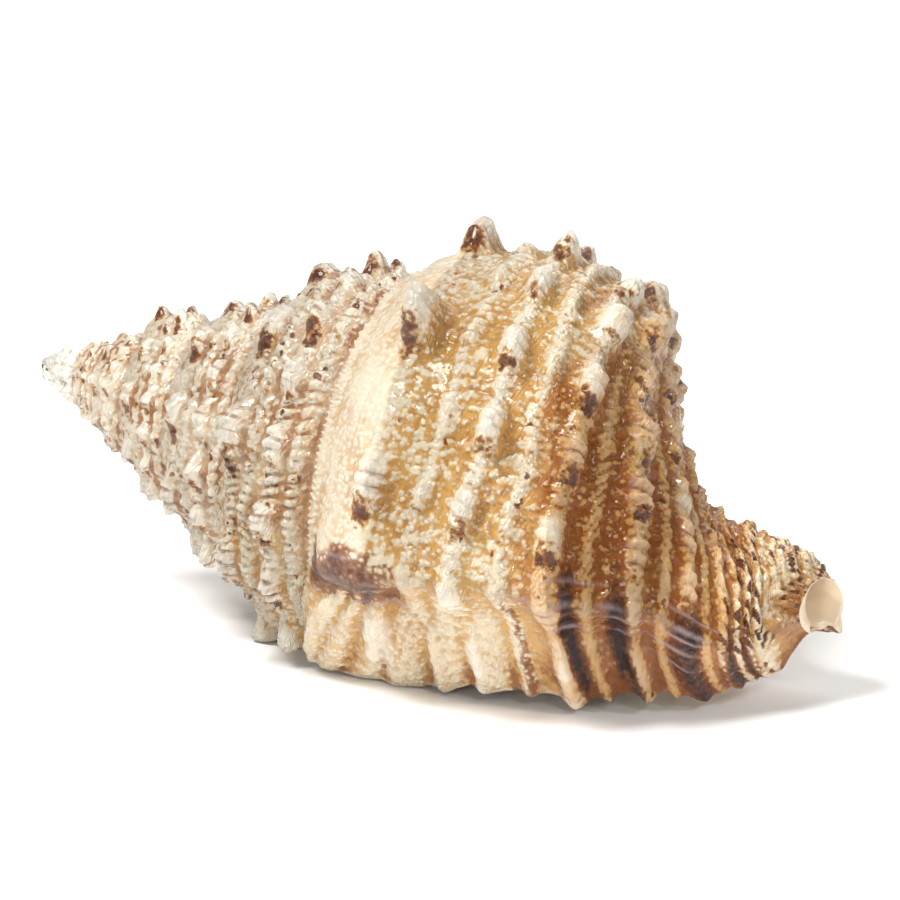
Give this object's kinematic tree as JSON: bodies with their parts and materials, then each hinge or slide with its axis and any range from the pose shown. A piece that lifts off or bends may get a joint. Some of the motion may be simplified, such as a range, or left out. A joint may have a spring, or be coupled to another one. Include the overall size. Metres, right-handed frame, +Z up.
{
  "type": "frog shell",
  "caption": "Large knobbly marine snail shell with a tall spire, beaded spiral cords, a wavy outer lip and a short canal, lying on its opening.",
  "frame": {"origin": "middle of the shell's box at the surface that it lies on", "axes": "+Z up, +X towards the end of the canal with the apex towards -X, -Y towards the outer lip's side"},
  "size_m": [0.1892, 0.1108, 0.0898],
  "materials": {
    "shell": "satin"
  },
  "bodies": {
    "root": {"shell": "shell"}
  },
  "joints": []
}
